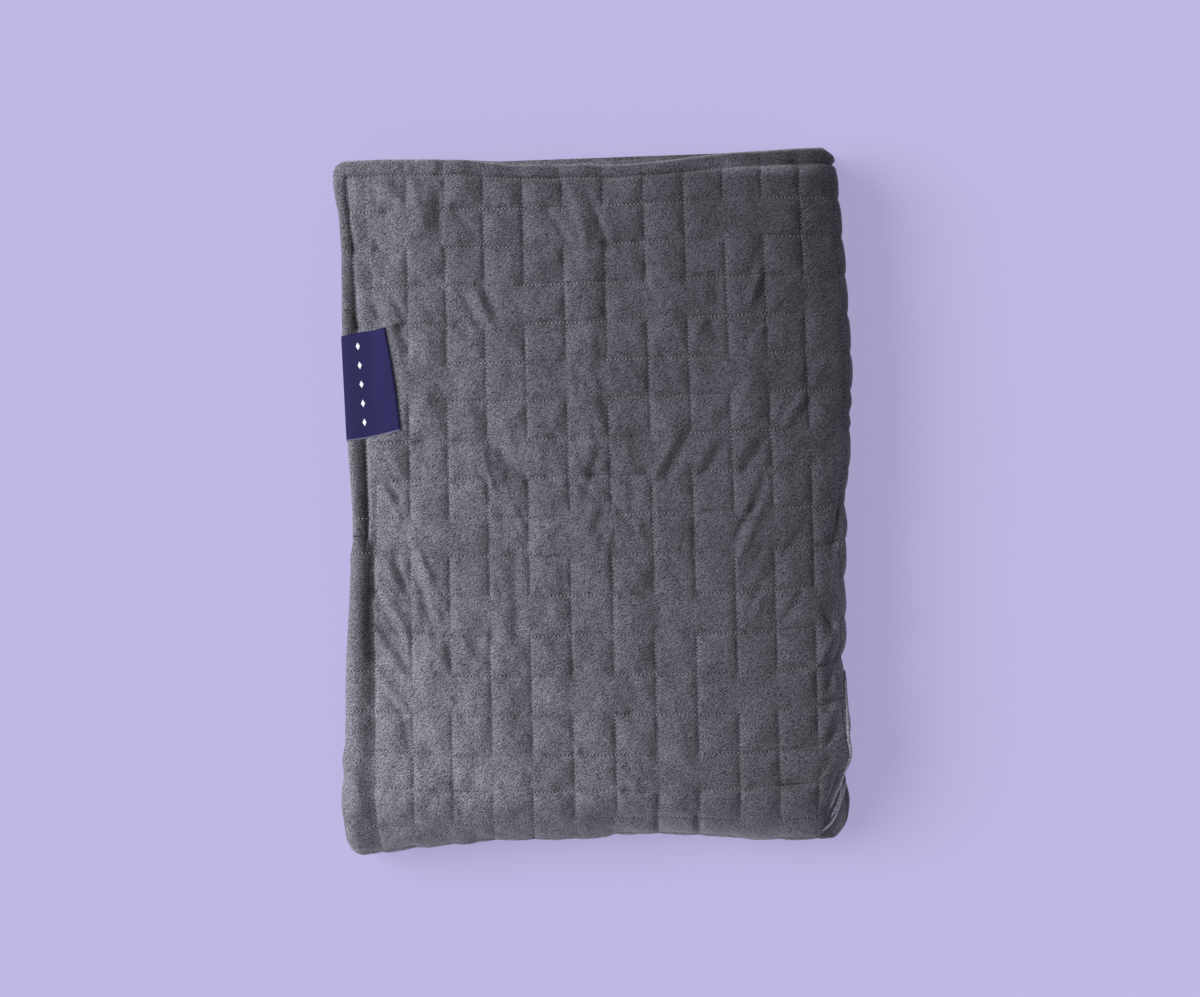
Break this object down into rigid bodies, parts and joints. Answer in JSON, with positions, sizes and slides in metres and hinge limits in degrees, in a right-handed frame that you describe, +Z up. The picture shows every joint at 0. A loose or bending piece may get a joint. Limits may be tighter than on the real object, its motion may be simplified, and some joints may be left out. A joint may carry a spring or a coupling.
{
  "type": "folded weighted blanket",
  "caption": "Plush quilted weighted blanket folded into a flat stack, with a plain woven label folded over its hem.",
  "frame": {"origin": "middle of the bounding box, on the surface that the folded stack lies on", "axes": "+X runs from the hem side with the label to the large side fold, +Y from the front fold to the back hems, +Z up"},
  "size_m": [0.4588, 0.6236, 0.0958],
  "materials": {
    "plush": "short grey pile, quilted in squares",
    "woven_tape": "smooth navy woven tape"
  },
  "bodies": {
    "root": {"blanket": "plush", "label": "woven_tape"}
  },
  "joints": []
}
